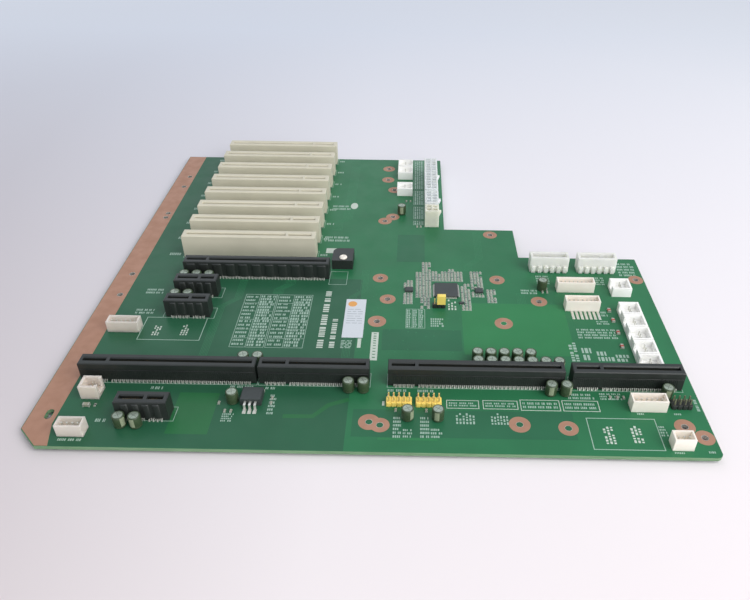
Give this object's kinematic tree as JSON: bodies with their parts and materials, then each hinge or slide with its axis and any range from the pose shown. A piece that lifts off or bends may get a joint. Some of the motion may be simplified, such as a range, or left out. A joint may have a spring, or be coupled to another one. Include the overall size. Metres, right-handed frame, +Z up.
{
  "type": "pcie backplane",
  "caption": "Flat stepped circuit board with a host connector row, card slots, power and wafer headers, screwed flat into an industrial computer chassis.",
  "frame": {"origin": "middle of the board's outline, on the plane that the solder tails stand on", "axes": "+X along the front edge, +Y from the host row towards the card slots, +Z up out of the component side"},
  "size_m": [0.327, 0.3146, 0.019],
  "materials": {
    "solder_mask": "semi-gloss green solder mask over glass-epoxy board",
    "ivory_plastic": "ivory moulded thermoplastic, satin",
    "black_plastic": "black moulded glass-filled thermoplastic, satin",
    "white_nylon": "white moulded nylon, satin",
    "natural_nylon": "natural translucent nylon, satin",
    "yellow_plastic": "yellow moulded thermoplastic, satin",
    "tinned_metal": "bright tin plate over brass",
    "gold_pin": "gold-flashed square pins",
    "chip_plastic": "matt dark epoxy package",
    "can_sleeve": "dark olive sleeve with a bright metal top"
  },
  "bodies": {
    "root": {"aux_power_header": "natural_nylon", "aux_power_pins": "tinned_metal", "board": "solder_mask", "capacitors": "can_sleeve", "clip_rivet": "white_nylon", "controller_chip": "chip_plastic", "fan_header_1": "white_nylon", "fan_header_10": "white_nylon", "fan_header_2": "white_nylon", "fan_header_3": "white_nylon", "fan_header_4": "white_nylon", "fan_header_5": "white_nylon", "fan_header_6": "white_nylon", "fan_header_7": "white_nylon", "fan_header_8": "white_nylon", "fan_header_9": "white_nylon", "fan_pins": "tinned_metal", "front_left_wafer_header": "white_nylon", "front_right_wafer_header": "white_nylon", "header_pins": "gold_pin", "host_connector_a": "black_plastic", "host_connector_b": "black_plastic", "host_connector_c": "black_plastic", "host_connector_d": "black_plastic", "jumper_cap": "yellow_plastic", "jumper_header": "black_plastic", "left_wafer_header": "white_nylon", "main_power_header": "natural_nylon", "main_power_pins": "tinned_metal", "middle_wafer_header": "white_nylon", "pci_slot_1": "ivory_plastic", "pci_slot_2": "ivory_plastic", "pci_slot_3": "ivory_plastic", "pci_slot_4": "ivory_plastic", "pci_slot_5": "ivory_plastic", "pci_slot_6": "ivory_plastic", "pci_slot_7": "ivory_plastic", "pci_slot_8": "ivory_plastic", "pcie_x16_slot": "black_plastic", "pcie_x1_slot_1": "black_plastic", "pcie_x1_slot_2": "black_plastic", "pcie_x1_slot_3": "black_plastic", "pin_header_1": "yellow_plastic", "pin_header_2": "yellow_plastic", "processor_power_header": "natural_nylon", "processor_power_pins": "tinned_metal", "rear_wafer_header": "white_nylon", "regulator_body": "chip_plastic", "regulator_leads": "tinned_metal", "retention_clip": "black_plastic", "right_wafer_header": "white_nylon", "row_power_header_1": "white_nylon", "row_power_header_2": "white_nylon", "row_power_pins": "tinned_metal", "side_pin_header": "black_plastic", "small_chips": "chip_plastic", "solder_joints": "tinned_metal", "wafer_pins": "tinned_metal"}
  },
  "joints": []
}
